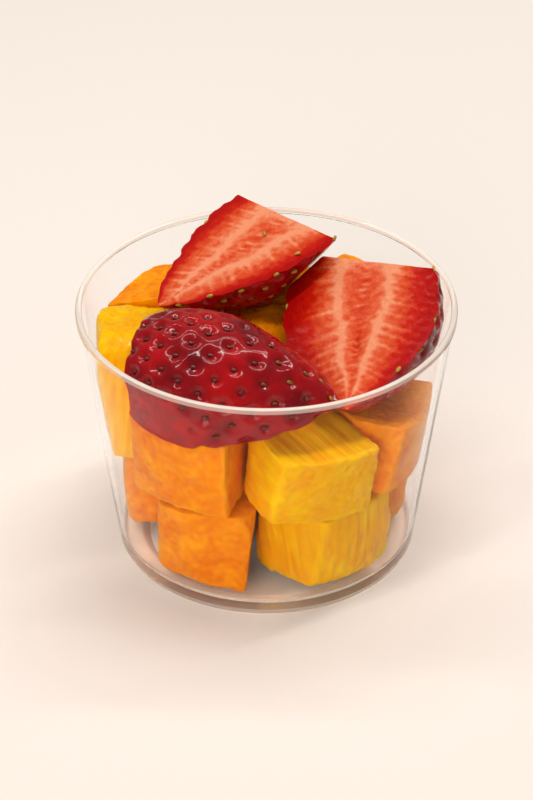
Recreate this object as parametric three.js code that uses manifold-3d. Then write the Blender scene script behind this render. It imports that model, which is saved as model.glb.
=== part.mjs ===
// A clear plastic tumbler of cut fruit: strawberry halves lying on blocks of melon and pineapple.
// Millimetres, +Z up, the origin in the middle of the foot. The front of the cup faces -Y.
import * as THREE from "three";
import { mergeVertices } from "three/addons/utils/BufferGeometryUtils.js";
import { RoundedBoxGeometry } from "three/addons/geometries/RoundedBoxGeometry.js";
import Module from "manifold-3d";

const wasm = await Module();
wasm.setup();

// Tumbler: a thin tapered wall, a rounded lip and a floor raised a little inside a flat foot ring
const RIM_DIAMETER = 80;
const FOOT_DIAMETER = 64;
const CUP_HEIGHT = 58;
const WALL = 1;
const LIP_THICKNESS = 1.4;
const LIP_HEIGHT = 1.8;
const LIP_OVERHANG = 0.35;
const FLOOR_THICKNESS = 1.4;
const FOOT_RECESS = 0.8;
const FOOT_RING = 5;
const FOOT_ROUNDING = 2;
const INNER_ROUNDING = 3;
const CUP_SIDES = 72;

// Fruit in the cup: the clear space left where pieces meet each other or the wall, the distance within
// which two pieces count as neighbours, and how much each kind gives way where it is pressed
const GAP = 0.3;
const NEIGHBOUR_DISTANCE = 1.5;
const SOFTNESS = { strawberry: 0.15, melon: 1, pineapple: 1 };
const PARTING_LEAN = 0.6;

// Strawberry: how its outline narrows to the tip, its facets and its seeds
const TIP_FULLNESS = 1.7;
const TIP_ROUNDNESS = 0.72;
const BERRY_RINGS = 12;
const BERRY_SIDES = 28;
const SEED_COUNT = 160;
const SEED_HALF_SIZE = [0.55, 0.5, 0.9];
const SEED_SINK = 0.12;
const SEED_CROWDING = 1.55;
const SLOPE_STEP = 0.01;
const GOLDEN_ANGLE = Math.PI * (3 - Math.sqrt(5));

// Each half lies with its long axis from shoulder to tip, and its cut face looks along face. broadest is
// where it is widest, as a share of its length, hulled is the width of its hulled end, as a share of the
// widest, and slant is how far the hulled end is cut off square, in degrees.
const BERRY_HALVES = [
  {
    name: "strawberry_half_back",
    shoulder: [4.5, 21.7, 66.3],
    tip: [-22.5, -1, 58],
    face: [-0.23, -0.16, 0.96],
    width: 31,
    broadest: 0.06,
    hulled: 0.97,
    slant: -6,
  },
  {
    name: "strawberry_half_right",
    shoulder: [21.4, 9.6, 62.6],
    tip: [16.3, -25.6, 48.6],
    face: [-0.3, -0.34, 0.87],
    width: 35,
    broadest: 0.36,
    hulled: 0.9,
    slant: 13,
  },
  {
    name: "strawberry_half_front",
    shoulder: [-26, -15.5, 50],
    tip: [14.8, -27.2, 50.8],
    face: [0.05, 0.45, -0.88],
    width: 32,
    broadest: 0.28,
    hulled: 0.78,
    slant: 0,
  },
];

// Fruit blocks: cut cubes with softened edges, none of them quite square, some corners sliced off
const BLOCK_ROUNDING = 1.6;
const BLOCK_UNEVENNESS = 0.08;
const BLOCK_TILT = 9;
const SLICES = 2;
const SLICE_AT = 0.76;

// Blocks on the floor of the cup, evenly spaced round it
const LOWER_BLOCKS = ["melon", "pineapple", "melon", "melon", "pineapple"];
const LOWER_SIZE = [25, 24, 23];
const LOWER_REACH = 19.5;
const LOWER_START = 20;
const LOWER_SPIN = 15;

// Blocks under the strawberries: bearing round the cup, distance from its axis, height of the top and spin
const UPPER_BLOCKS = [
  { kind: "melon", bearing: 342, reach: 25, top: 44, spin: 8, size: [25, 27, 23] },
  { kind: "melon", bearing: 40, reach: 25, top: 57, spin: 15, size: [24, 25, 36] },
  { kind: "melon", bearing: 89, reach: 26, top: 52, spin: 10, size: [21, 25, 30] },
  { kind: "melon", bearing: 146, reach: 27, top: 54, spin: 20, size: [21, 23, 32] },
  { kind: "pineapple", bearing: 184, reach: 26, top: 53, spin: 0, size: [21, 26, 30] },
  { kind: "melon", bearing: 235, reach: 25, top: 52, spin: 20, size: [25, 26, 31] },
  { kind: "pineapple", bearing: 293, reach: 24, top: 50, spin: 15, size: [25, 27, 29] },
  { kind: "melon", bearing: 60, reach: 4, top: 52, spin: 20, size: [20, 20, 28] },
];

const LOOKS = {
  cup: { color: 0xf2f5f6, roughness: 0.05, metalness: 0, transparent: true, opacity: 0.25 },
  strawberry: { color: 0xb4141c, roughness: 0.35, metalness: 0 },
  melon: { color: 0xf2992b, roughness: 0.45, metalness: 0 },
  pineapple: { color: 0xf3c81f, roughness: 0.45, metalness: 0 },
};

// A closed geometry as a solid that can be joined and cut
function toSolid(geometry) {
  geometry.deleteAttribute("normal");
  geometry.deleteAttribute("uv");
  const merged = mergeVertices(geometry, 1e-4);
  const vertProperties = new Float32Array(merged.getAttribute("position").array);
  const triVerts = new Uint32Array(merged.getIndex().array);
  return new wasm.Manifold(new wasm.Mesh({ numProp: 3, vertProperties, triVerts }));
}

// A solid as a geometry with flat faces
function toGeometry(solid) {
  const { vertProperties, triVerts } = solid.getMesh();
  const geometry = new THREE.BufferGeometry();
  geometry.setAttribute("position", new THREE.BufferAttribute(vertProperties, 3));
  geometry.setIndex(new THREE.BufferAttribute(triVerts, 1));
  geometry.computeVertexNormals();
  return geometry;
}

// A profile of distance and height, turned round the upright axis
function turned(path, sides, steps) {
  return new THREE.LatheGeometry(path.getPoints(steps), sides).rotateX(Math.PI / 2);
}

// The same number from -1 to 1 each time for one block and one of its measures
function uneven(block, measure) {
  const wave = Math.sin(12.9898 * (block + 1) + 78.233 * (measure + 1)) * 437.585;
  return 2 * (wave - Math.floor(wave)) - 1;
}

// Radius of the wall's inner face at a height
function innerRadius(height) {
  const foot = FOOT_DIAMETER / 2;
  const rim = RIM_DIAMETER / 2 - LIP_OVERHANG;
  return foot + ((rim - foot) * height) / CUP_HEIGHT - WALL;
}

function tumbler() {
  const foot = FOOT_DIAMETER / 2;
  const rim = RIM_DIAMETER / 2;
  const lip = LIP_THICKNESS / 2;
  const lipFoot = CUP_HEIGHT - LIP_HEIGHT;
  const floorTop = FOOT_RECESS + FLOOR_THICKNESS;
  const path = new THREE.Path();
  path.moveTo(0, FOOT_RECESS);
  path.lineTo(foot - FOOT_ROUNDING - FOOT_RING - FOOT_RECESS, FOOT_RECESS);
  path.lineTo(foot - FOOT_ROUNDING - FOOT_RING, 0);
  path.lineTo(foot - FOOT_ROUNDING, 0);
  path.quadraticCurveTo(foot, 0, innerRadius(FOOT_ROUNDING) + WALL, FOOT_ROUNDING);
  path.lineTo(innerRadius(lipFoot) + WALL, lipFoot);
  path.lineTo(rim, lipFoot + LIP_OVERHANG);
  path.lineTo(rim, CUP_HEIGHT - lip);
  path.absarc(rim - lip, CUP_HEIGHT - lip, lip, 0, Math.PI, false);
  path.lineTo(innerRadius(lipFoot), lipFoot);
  path.lineTo(innerRadius(floorTop + INNER_ROUNDING), floorTop + INNER_ROUNDING);
  path.quadraticCurveTo(
    innerRadius(floorTop), floorTop,
    innerRadius(floorTop) - INNER_ROUNDING, floorTop,
  );
  path.lineTo(0, floorTop);
  return turned(path, CUP_SIDES, 3);
}

// The room inside the tumbler, carried on upwards past the lip
function insideOfCup() {
  const floorTop = FOOT_RECESS + FLOOR_THICKNESS + GAP;
  const lipInside = RIM_DIAMETER / 2 - LIP_THICKNESS - GAP;
  const path = new THREE.Path();
  path.moveTo(0, floorTop);
  path.lineTo(innerRadius(floorTop) - INNER_ROUNDING, floorTop);
  path.lineTo(innerRadius(floorTop + INNER_ROUNDING) - GAP, floorTop + INNER_ROUNDING);
  path.lineTo(Math.min(innerRadius(CUP_HEIGHT) - GAP, lipInside), CUP_HEIGHT - LIP_HEIGHT);
  path.lineTo(lipInside, 2 * CUP_HEIGHT);
  path.lineTo(0, 2 * CUP_HEIGHT);
  return turned(path, CUP_SIDES, 1);
}

// Strawberry's half width at a fraction of its length from the hulled end, as a share of the broadest
function berryOutline(along, { broadest, hulled }) {
  if (along < broadest) {
    return 1 - (1 - hulled) * ((broadest - along) / broadest) ** 2;
  }
  const taper = (along - broadest) / (1 - broadest);
  return Math.max(0, 1 - taper ** TIP_FULLNESS) ** TIP_ROUNDNESS;
}

// Leans the hulled end of a strawberry by the slant of its cut, and leaves the tip where it is
function leanHulledEnd(geometry, length, slant) {
  const points = geometry.getAttribute("position");
  const slope = Math.tan(THREE.MathUtils.degToRad(slant));
  for (let point = 0; point < points.count; point += 1) {
    const left = Math.max(0, 1 - points.getZ(point) / length);
    points.setZ(point, points.getZ(point) + slope * points.getX(point) * left ** 2);
  }
  return geometry;
}

// A whole hulled strawberry, with its axis from the hulled end at the origin to the tip at +Z
function berryBody(berry, length) {
  const path = new THREE.Path();
  path.moveTo(0, 0);
  for (let ring = 0; ring <= BERRY_RINGS; ring += 1) {
    const along = Math.sin((ring / BERRY_RINGS) * (Math.PI / 2));
    path.lineTo((berryOutline(along, berry) * berry.width) / 2, along * length);
  }
  return leanHulledEnd(turned(path, BERRY_SIDES, 1), length, berry.slant);
}

// Seeds set in a spiral over the skin, sunk into it with their long side towards the tip
function berrySeeds(berry, length) {
  const seeds = [];
  for (let count = 0; count < SEED_COUNT; count += 1) {
    const along = 1 - (1 - (count + 0.5) / SEED_COUNT) ** (1 / SEED_CROWDING);
    const radius = (berryOutline(along, berry) * berry.width) / 2;
    const narrowing = berryOutline(along + SLOPE_STEP, berry) - berryOutline(along - SLOPE_STEP, berry);
    const slope = (narrowing * berry.width) / (4 * SLOPE_STEP * length);
    const seed = new THREE.OctahedronGeometry(1, 0).scale(...SEED_HALF_SIZE);
    seed.rotateY(Math.atan(slope));
    seed.translate(radius - SEED_SINK, 0, along * length);
    seed.rotateZ(count * GOLDEN_ANGLE);
    seeds.push(toSolid(leanHulledEnd(seed, length, berry.slant)));
  }
  return seeds;
}

// One half of a strawberry, cut along its axis, with the cut face on the local XZ plane
function strawberryHalf(berry) {
  const start = new THREE.Vector3(...berry.shoulder);
  const along = new THREE.Vector3(...berry.tip).sub(start);
  const length = along.length();
  along.normalize();
  const across = new THREE.Vector3().crossVectors(new THREE.Vector3(...berry.face), along).normalize();
  const up = new THREE.Vector3().crossVectors(along, across);
  const place = new THREE.Matrix4().makeBasis(across, up, along).setPosition(start);
  const body = toSolid(berryBody(berry, length));
  const seeded = wasm.Manifold.union([body, ...berrySeeds(berry, length)]);
  const halve = (solid) => solid.trimByPlane([0, -1, 0], 0);
  return { name: berry.name, kind: "strawberry", place, outline: halve(body), solid: halve(seeded) };
}

// A block with corners taken off by straight slices of the knife
function sliced(block, index, size) {
  let solid = block;
  for (let slice = 0; slice < SLICES; slice += 1) {
    const aim = [0, 1, 2].map((axis) => uneven(index, 7 + 3 * slice + axis));
    const towards = new THREE.Vector3(...aim).normalize();
    const reach = towards.toArray().reduce((sum, lean, axis) => sum + (Math.abs(lean) * size[axis]) / 2, 0);
    solid = solid.trimByPlane(towards.negate().toArray(), -SLICE_AT * reach);
  }
  return solid;
}

// A block of fruit: a cube with softened edges, tapered and leaning a little, with some corners sliced off
function fruitBlock(name, kind, index, size, position, turn) {
  const [deep, wide, tall] = size;
  const geometry = new RoundedBoxGeometry(deep, wide, tall, 1, BLOCK_ROUNDING);
  const corners = geometry.getAttribute("position");
  for (let corner = 0; corner < corners.count; corner += 1) {
    const height = corners.getZ(corner) / tall;
    const across = corners.getX(corner) / deep;
    const taperX = 1 + 2 * BLOCK_UNEVENNESS * uneven(index, 0) * height;
    const taperY = 1 + 2 * BLOCK_UNEVENNESS * (uneven(index, 1) * height + uneven(index, 2) * across);
    const lean = BLOCK_UNEVENNESS * uneven(index, 3) * height * deep;
    corners.setX(corner, corners.getX(corner) * taperX + lean);
    corners.setY(corner, corners.getY(corner) * taperY);
  }
  const tilt = new THREE.Euler(
    THREE.MathUtils.degToRad(BLOCK_TILT * uneven(index, 4)),
    THREE.MathUtils.degToRad(BLOCK_TILT * uneven(index, 5)),
    THREE.MathUtils.degToRad(turn),
  );
  const place = new THREE.Matrix4().makeRotationFromEuler(tilt).setPosition(...position);
  const solid = sliced(toSolid(geometry), index, size);
  return { name, kind, place, outline: solid, solid };
}

function atBearing(bearing, reach, height) {
  const angle = THREE.MathUtils.degToRad(bearing);
  return [reach * Math.cos(angle), reach * Math.sin(angle), height];
}

function fruitBlocks() {
  const floorTop = FOOT_RECESS + FLOOR_THICKNESS + GAP;
  const counts = { melon: 0, pineapple: 0 };
  const rows = LOWER_BLOCKS.map((kind, order) => {
    const bearing = LOWER_START + (360 / LOWER_BLOCKS.length) * order;
    const spin = LOWER_SPIN + 2 * BLOCK_TILT * uneven(order, 6);
    return { kind, bearing, spin, reach: LOWER_REACH, top: floorTop + LOWER_SIZE[2], size: LOWER_SIZE };
  });
  rows.push(...UPPER_BLOCKS);
  return rows.map(({ kind, bearing, spin, reach, top, size }, index) => {
    counts[kind] += 1;
    const middle = atBearing(bearing, reach, top - size[2] / 2);
    return fruitBlock(`${kind}_block_${counts[kind]}`, kind, index, size, middle, bearing + spin);
  });
}

// Points and axes of a piece where it lies
function laidOut(piece) {
  const matrix = piece.place;
  const { vertProperties } = piece.outline.getMesh();
  const points = [];
  for (let start = 0; start < vertProperties.length; start += 3) {
    points.push(new THREE.Vector3().fromArray(vertProperties, start).applyMatrix4(matrix));
  }
  const axes = [new THREE.Vector3(), new THREE.Vector3(), new THREE.Vector3()];
  matrix.extractBasis(...axes);
  const middle = new THREE.Box3().setFromPoints(points).getCenter(new THREE.Vector3());
  return { ...piece, points, axes, middle };
}

// Directions in which two neighbours may be parted: from middle to middle, square to their faces and edges
function partingDirections(one, other) {
  const between = other.middle.clone().sub(one.middle).normalize();
  const directions = [between];
  for (const axis of [...one.axes, ...other.axes]) {
    directions.push(axis);
    directions.push(between.clone().addScaledVector(axis, PARTING_LEAN));
    directions.push(between.clone().addScaledVector(axis, -PARTING_LEAN));
  }
  for (const axis of one.axes) {
    for (const otherAxis of other.axes) {
      directions.push(new THREE.Vector3().crossVectors(axis, otherAxis));
    }
  }
  return directions.map((direction) => {
    const towardsOther = direction.dot(between) < 0 ? -1 : 1;
    return direction.clone().normalize().multiplyScalar(towardsOther);
  });
}

// The plane on which two neighbours overlap least: each then gives way on its own side of it
function partingPlane(one, other) {
  let best = { overlap: Infinity };
  for (const direction of partingDirections(one, other)) {
    const reach = Math.max(...one.points.map((point) => point.dot(direction)));
    const start = Math.min(...other.points.map((point) => point.dot(direction)));
    if (reach - start < best.overlap) {
      best = { direction, reach, start, overlap: reach - start };
    }
  }
  return best;
}

// Lays the fruit in the cup: pieces that press on each other flatten where they meet
function packed(pieces) {
  const cuts = pieces.map(() => []);
  const laid = pieces.map(laidOut);
  laid.forEach((one, index) => {
    for (let next = index + 1; next < laid.length; next += 1) {
      const other = laid[next];
      const { direction, reach, start, overlap } = partingPlane(one, other);
      if (overlap > -NEIGHBOUR_DISTANCE) {
        const pressed = overlap + GAP;
        const share = SOFTNESS[one.kind] / (SOFTNESS[one.kind] + SOFTNESS[other.kind]);
        cuts[index].push({ normal: direction.clone().negate(), offset: pressed * share - reach });
        cuts[next].push({ normal: direction, offset: start + pressed * (1 - share) });
      }
    }
  });
  const inside = toSolid(insideOfCup());
  return pieces.map((piece, index) => {
    let solid = piece.solid.transform(piece.place.toArray()).intersect(inside);
    for (const { normal, offset } of cuts[index]) {
      solid = solid.trimByPlane(normal.toArray(), offset);
    }
    return { ...piece, solid };
  });
}

function part(name, geometry, look) {
  const mesh = new THREE.Mesh(geometry, new THREE.MeshStandardMaterial(LOOKS[look]));
  mesh.name = name;
  return mesh;
}

// A fruit piece, drawn in its own axes and placed where it lies
function fruitPart({ name, kind, place, solid }) {
  const mesh = part(name, toGeometry(solid).applyMatrix4(place.clone().invert()), kind);
  mesh.applyMatrix4(place);
  return mesh;
}

const fruitCup = new THREE.Group();
fruitCup.add(part("cup", tumbler(), "cup"));
const fruit = new THREE.Group();
for (const piece of packed([...BERRY_HALVES.map(strawberryHalf), ...fruitBlocks()])) {
  fruit.add(fruitPart(piece));
}
fruitCup.add(fruit);

export default fruitCup;
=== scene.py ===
"""Dresses the fruit cup: a clear tumbler, strawberry halves, blocks of melon and pineapple."""

import math

import bpy
import numpy as np
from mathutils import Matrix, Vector


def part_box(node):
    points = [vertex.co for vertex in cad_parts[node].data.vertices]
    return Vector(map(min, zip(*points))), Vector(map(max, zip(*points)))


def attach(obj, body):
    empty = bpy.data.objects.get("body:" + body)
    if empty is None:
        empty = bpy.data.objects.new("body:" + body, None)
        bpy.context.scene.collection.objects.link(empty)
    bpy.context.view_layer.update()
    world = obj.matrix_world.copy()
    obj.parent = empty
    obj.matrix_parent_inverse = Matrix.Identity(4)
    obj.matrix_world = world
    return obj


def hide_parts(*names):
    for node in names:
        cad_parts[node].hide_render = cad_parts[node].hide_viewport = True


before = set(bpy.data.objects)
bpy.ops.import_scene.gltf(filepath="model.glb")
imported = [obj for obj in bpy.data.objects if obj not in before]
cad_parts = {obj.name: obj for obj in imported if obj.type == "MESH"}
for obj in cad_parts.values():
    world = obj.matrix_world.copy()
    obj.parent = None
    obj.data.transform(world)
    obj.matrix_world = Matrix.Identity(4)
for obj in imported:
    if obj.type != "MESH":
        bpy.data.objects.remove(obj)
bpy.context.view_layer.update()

bl_info = {
    "name": "Fruit Cup",
    "version": (1, 0, 0),
    "blender": (4, 5, 0),
    "location": "View3D > Sidebar > Fruit Cup",
    "description": "A clear tumbler of cut strawberries, melon and pineapple",
    "category": "Object",
}

MM = 0.001
BODY = "root"
CUP_LOW, CUP_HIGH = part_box("cup")

# Tumbler, in millimetres
WALL = 1.0
LIP_THICKNESS = 1.4
LIP_HEIGHT = 1.8
LIP_OVERHANG = 0.35
FLOOR_THICKNESS = 1.4
FOOT_RECESS = 0.8
FOOT_RING = 5.0
FOOT_ROUNDING = 2.0
INNER_ROUNDING = 3.0
CUP_COLUMNS = 240
# The lip's top band and the heel are cream plastic: a painted highlight on the lip, painted light over
# the shade at the heel.
BRIGHT_LIP = 1.0
CREST_HEIGHT = 0.28
EDGE_CLEARNESS = 0.6
CREST_CLEARNESS = 0.25
HEEL_HEIGHT = 4.5
HEEL_RADIUS = 26.0
CORNER_ROUNDING = 0.25
CORNER_SUPPORT = 0.5
CORNER_SHARE = 0.3
CORNER_STEPS = 5
CURVE_STEPS = 14
LIP_STEPS = 19

# Fruit where it meets other fruit or the wall, in millimetres and square millimetres
GAP = 0.3
NEIGHBOUR_DISTANCE = 3.0
PRESS_SOFTNESS = 0.22
SMALLEST_AREA = 0.05

# Strawberry outline and skin: lumps are wavelengths and heights in millimetres
TIP_FULLNESS = 1.7
TIP_ROUNDNESS = 0.72
SLOPE_STEP = 0.01
STEEPEST_SLOPE = 3.0
PIT_STRETCH = np.array([1.0, 1.0, 0.85])
BOWL_GIRTHS = (0.85, 1.15)
RIM_SOFTNESS = 0.3
BROAD_LUMPS = (15.0, 0.5)
FINE_LUMPS = (1.6, 0.06)
CALM_RADIUS = 3.5
BERRY_ROWS = 190
ARC_COLUMNS = 190
FACE_COLUMNS = 116
CAP_ROWS = 14
CAP_MIDDLE = 0.42
SHARP_ANGLE = math.radians(55)

# Seeds, in millimetres and shares of their length
SEED_COUNT = 160
SEED_CROWDING = 1.55
GOLDEN_ANGLE = math.pi * (3 - math.sqrt(5))
SEED_SHAPE = np.array([0.3, 0.2, 0.5])
SEED_NARROWING = 0.3
SEED_ROWS = 4
SEED_COLUMNS = 8
SEED_RISE = 0.22
SEED_CLEARANCE = 0.35
SEED_WALL_CLEARANCE = 0.4
SEED_FACE_LEVEL = 0.3

# Cut faces: places and widths as shares of the half width, strands as spacing and width in millimetres
VEIN_PLACE = 0.36
VEIN_CLOSING = 0.85
VEIN_BEND = 1.6
VEIN_WANDER = 0.09
VEIN_WIDTH = 0.055
HALO_WIDTH = 0.16
HALO_STRENGTH = 0.45
LONG_RAYS = (2.7, 0.42)
SHORT_RAYS = (1.5, 0.4)
INNER_STRANDS = (1.9, 0.4)
SPECKLES = (1.6, 0.45)
STRAND_KINDS = 64
STRAND_STRENGTHS = (0.15, 1.0)
STRAND_SHIFT = 0.33
RAY_LEAN = 0.1
RAY_LEAN_GROWTH = 0.55
MIDDLE_WIDTH = 0.08
CAVITY_PLACE = 0.58
CAVITY_SIZE = (0.7, 1.8)

# Cut faces: how much paler or redder each makes them, and their relief in millimetres
VEIN_TONE = 0.34
RAY_TONE = 0.26
INNER_TONE = 0.1
SPECKLE_TONE = 0.4
MIDDLE_TONE = 0.14
HULLED_TONE = 0.25
GRAIN_TONE = 0.14
SKIN_TONE = 0.25
TIP_TONE = 0.15
# The cavity's darker red is painted shade in its hollow.
CAVITY_SHADE = 0.1
CAP_TONE = 0.9
CAP_TONE_FALL = 0.55
TIP_POLE_TONE = 0.1
FACE_SINK = 0.1
GRAIN_DEPTH = 0.07
MIDDLE_DEPTH = 0.1
VEIN_HEIGHT = 0.06

# Strawberry halves in millimetres, from shoulder to tip, with the way the cut face looks
# broadest is a share of the length, hulled a share of the width and slant is in degrees
BERRIES = {
    "strawberry_back": {
        "node": "strawberry_half_back",
        "shoulder": (4.5, 21.7, 66.3),
        "tip": (-22.5, -1, 58),
        "face": (-0.23, -0.16, 0.96),
        "width": 31, "broadest": 0.06, "hulled": 0.97, "slant": -6,
        "pale": 0.66, "fade": (0.5, 1.1), "cavity": 0.0,
        "variant": 3, "seed_tone": 0.45,
    },
    "strawberry_right": {
        "node": "strawberry_half_right",
        "shoulder": (21.4, 9.6, 62.6),
        "tip": (16.3, -25.6, 48.6),
        "face": (-0.3, -0.34, 0.87),
        "width": 35, "broadest": 0.36, "hulled": 0.9, "slant": 13,
        "pale": 0.58, "fade": (0.4, 1.0), "cavity": 1.2,
        "variant": 5, "seed_tone": 0.45,
    },
    "strawberry_front": {
        "node": "strawberry_half_front",
        "shoulder": (-26, -15.5, 50),
        "tip": (14.8, -27.2, 50.8),
        "face": (0.05, 0.45, -0.88),
        "width": 32, "broadest": 0.28, "hulled": 0.78, "slant": 0,
        "pale": 0.58, "fade": (0.4, 0.95), "cavity": 0.8,
        "variant": 8, "seed_tone": -0.2,
    },
}

# Two seeds that came off and lie on the back half: share across, share along and turn
LOOSE_SEED_BERRY = "strawberry_back"
LOOSE_SEEDS = ((0.05, 0.2, 0.6), (0.78, 0.22, 2.1))
LOOSE_SEED_HEIGHT = 0.25

# Blocks of fruit: waves are wavelengths in millimetres and shares of the depth, the last along the edges
# fine and patches are the scale and detail of noises in the flesh, each with the tones it gives
BLOCK_STEPS = 54
EDGE_POWER = 36
EDGE_REACH = 0.07
EDGE_CROWDING = 0.45
GRAIN_STEP = 50.0
BLOCKS = {
    "melon": {
        "nodes": sorted(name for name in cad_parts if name.startswith("melon")),
        "variant": 20,
        "stretch": (1.0, 1.0, 1.0),
        "waves": ((8.0, 0.7), (2.0, 0.3), (3.5, 0.8)),
        "drawn": 1.0,
        "fine": (0.75, 6.0), "fine_tones": (-0.05, 0.5),
        "patches": (0.16, 3.0), "patch_tones": (-0.05, 0.6),
        # edge_highlight_share is how far the rounded edges are painted towards the light shade, a painted
        # highlight.
        "middle": 0.5, "edge_highlight_share": 0.35,
        "roughness": (0.3, 0.48), "coat_roughness": 0.1,
        "subsurface": 0.2, "radius": (1.0, 0.7, 0.2), "bump": 0.6,
    },
    "pineapple": {
        "nodes": sorted(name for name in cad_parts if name.startswith("pineapple")),
        "variant": 40,
        "stretch": (1.0, 1.0, 0.12),
        "waves": ((2.2, 0.8), (9.0, 0.9), (3.0, 0.9)),
        "drawn": 0.1,
        "fine": (0.9, 4.0), "fine_tones": (0.0, 0.5),
        "patches": (0.14, 2.0), "patch_tones": (0.0, 0.5),
        "middle": 0.55, "edge_highlight_share": 0.3,
        "roughness": (0.24, 0.42), "coat_roughness": 0.08,
        "subsurface": 0.25, "radius": (1.0, 0.7, 0.1), "bump": 0.45,
    },
}
FRUIT_NODES = [node for blocks in BLOCKS.values() for node in blocks["nodes"]]
FRUIT_NODES += [berry["node"] for berry in BERRIES.values()]

# Camera
VIEW_ELEVATION = math.radians(34.1)
VIEW_DISTANCE = 0.65
VIEW_LENS = 137.0
VIEW_HEIGHT = 0.0335

# Floor of the studio, in metres: half its side, and how far it lies under the foot
FLOOR_SIDE = 3.0
FLOOR_DROP = 0.00005

# Lamps: name, place and size in metres, power in watts, colour and whether gloss reflects it
LAMPS = (
    ("key", (0.03, -0.05, 0.92), (1.3, 0.05), 5.1, (1.0, 0.97, 0.94), True),
    ("top", (0.03, 0.4, 0.85), (1.1, 0.04), 3.1, (1.0, 0.97, 0.94), True),
    ("front", (-0.25, -0.9, 0.45), (0.6, 0.5), 3.4, (1.0, 0.92, 0.83), False),
)
WORLD_COLOUR = (1.0, 0.97, 0.94)
WORLD_STRENGTH = 0.27

# Waves in the forms: how many are summed, their lengths as shares, and how far the sum spreads
WAVE_COUNT = 16
WAVE_LENGTHS = (0.7, 1.5)
WAVE_SPREAD = 0.3

# Values that a noise in a material seldom leaves
NOISE_RANGE = (0.3, 0.7)


def linear(red, green, blue):
    """Scene-linear colour of a screen colour given from 0 to 255."""
    shares = np.array([red, green, blue]) / 255
    return tuple(np.where(shares > 0.04045, ((shares + 0.055) / 1.055) ** 2.4, shares / 12.92).tolist())


def length_setting(label, description, default):
    """A setting for a length, in metres."""
    return bpy.props.FloatProperty(
        name=label,
        description=description,
        default=default,
        min=0.0,
        precision=5,
        unit="LENGTH",
        subtype="DISTANCE",
    )


def colour_setting(label, description, default):
    """A setting for a colour."""
    return bpy.props.FloatVectorProperty(
        name=label, description=description, default=default, size=3, min=0.0, max=1.0, subtype="COLOR"
    )


class FruitCupSizes(bpy.types.PropertyGroup):
    """Sizes of the fruit cup that a user would change."""

    rim_diameter: length_setting("Rim diameter", "Across the lip", CUP_HIGH.x - CUP_LOW.x)
    cup_height: length_setting("Cup height", "From the foot to the lip", CUP_HIGH.z - CUP_LOW.z)
    foot_diameter: length_setting("Foot diameter", "Across the wall at the foot", 0.064)
    pit_depth: length_setting("Pit depth", "How deep the seeds lie in their bowls", 0.00035)
    pit_radius: length_setting("Pit radius", "Half width of the hollow round a seed", 0.0009)
    bowl_depth: length_setting("Bowl depth", "How deep the skin dips round a seed", 0.0006)
    bowl_radius: length_setting("Bowl radius", "From a seed to the edge of its bowl", 0.0018)
    seed_length: length_setting("Seed length", "Length of one seed", 0.0015)
    hull_depth: length_setting("Hull depth", "Depth of the hollow that hulling leaves", 0.0014)
    melon_roughness: length_setting("Melon roughness", "Depth of the knife's waves", 0.00042)
    fibre_depth: length_setting("Fibre depth", "Depth of the grooves between pineapple fibres", 0.0003)


class FruitCupColours(bpy.types.PropertyGroup):
    """Colours of the fruit cup that a user would change."""

    plastic: colour_setting("Plastic", "Tint of the clear tumbler", (0.985, 0.99, 0.99))
    # Cream painted onto the lip as its highlight and onto the heel as painted light.
    lip: colour_setting("Lip", "Light that the lip and the heel gather", (1.0, 0.9, 0.8))
    skin: colour_setting("Skin", "Strawberry skin where it is bright", linear(172, 6, 12))
    # Deep skin colours the ripe patches and is also the painted shade in the pits.
    deep_skin_and_pit_shade: colour_setting("Deep skin", "Strawberry skin where it is darkest", linear(112, 2, 14))
    flesh_edge: colour_setting("Flesh edge", "Cut strawberry next to the skin", linear(168, 3, 1))
    flesh: colour_setting("Flesh", "Cut strawberry", linear(190, 24, 4))
    flesh_light: colour_setting("Light flesh", "Cut strawberry round the core", linear(214, 82, 40))
    flesh_core: colour_setting("Core", "Palest veins of the core", linear(231, 145, 106))
    seed_light: colour_setting("Light seed", "Ripe seed", linear(196, 158, 48))
    seed_dark: colour_setting("Dark seed", "Seed deep in its pit", linear(96, 24, 10))
    melon: colour_setting("Melon", "Melon flesh", linear(242, 138, 2))
    # Light melon colours the pale cells and is also painted onto the rounded edges as a highlight.
    melon_pale_and_edge_highlight: colour_setting("Light melon", "Pale cells of the melon", linear(250, 162, 6))
    melon_deep: colour_setting("Deep melon", "Ripest melon flesh", linear(230, 112, 1))
    pineapple: colour_setting("Pineapple", "Pineapple flesh", linear(242, 177, 0))
    # Light pineapple colours the pale fibres and is also painted onto the rounded edges as a highlight.
    pineapple_pale_and_edge_highlight: colour_setting("Light pineapple", "Pale fibres", linear(245, 198, 1))
    pineapple_deep: colour_setting("Deep pineapple", "Between the fibres", linear(236, 153, 0))
    floor: colour_setting("Floor", "Floor of the studio", (0.9, 0.83, 0.77))


def smoothstep(low, high, value):
    """0 below low, 1 above high, and 3u^2 - 2u^3 between them."""
    share = np.clip((value - low) / (high - low), 0.0, 1.0)
    return share * share * (3.0 - 2.0 * share)


def fading(low, high, value):
    """1 below low, 0 above high, and smooth between them."""
    return 1 - smoothstep(low, high, value)


def bell(value, width):
    """1 at 0, falling to both sides as e^-(value / width)^2."""
    return np.exp(-((value / width) ** 2))


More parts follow.
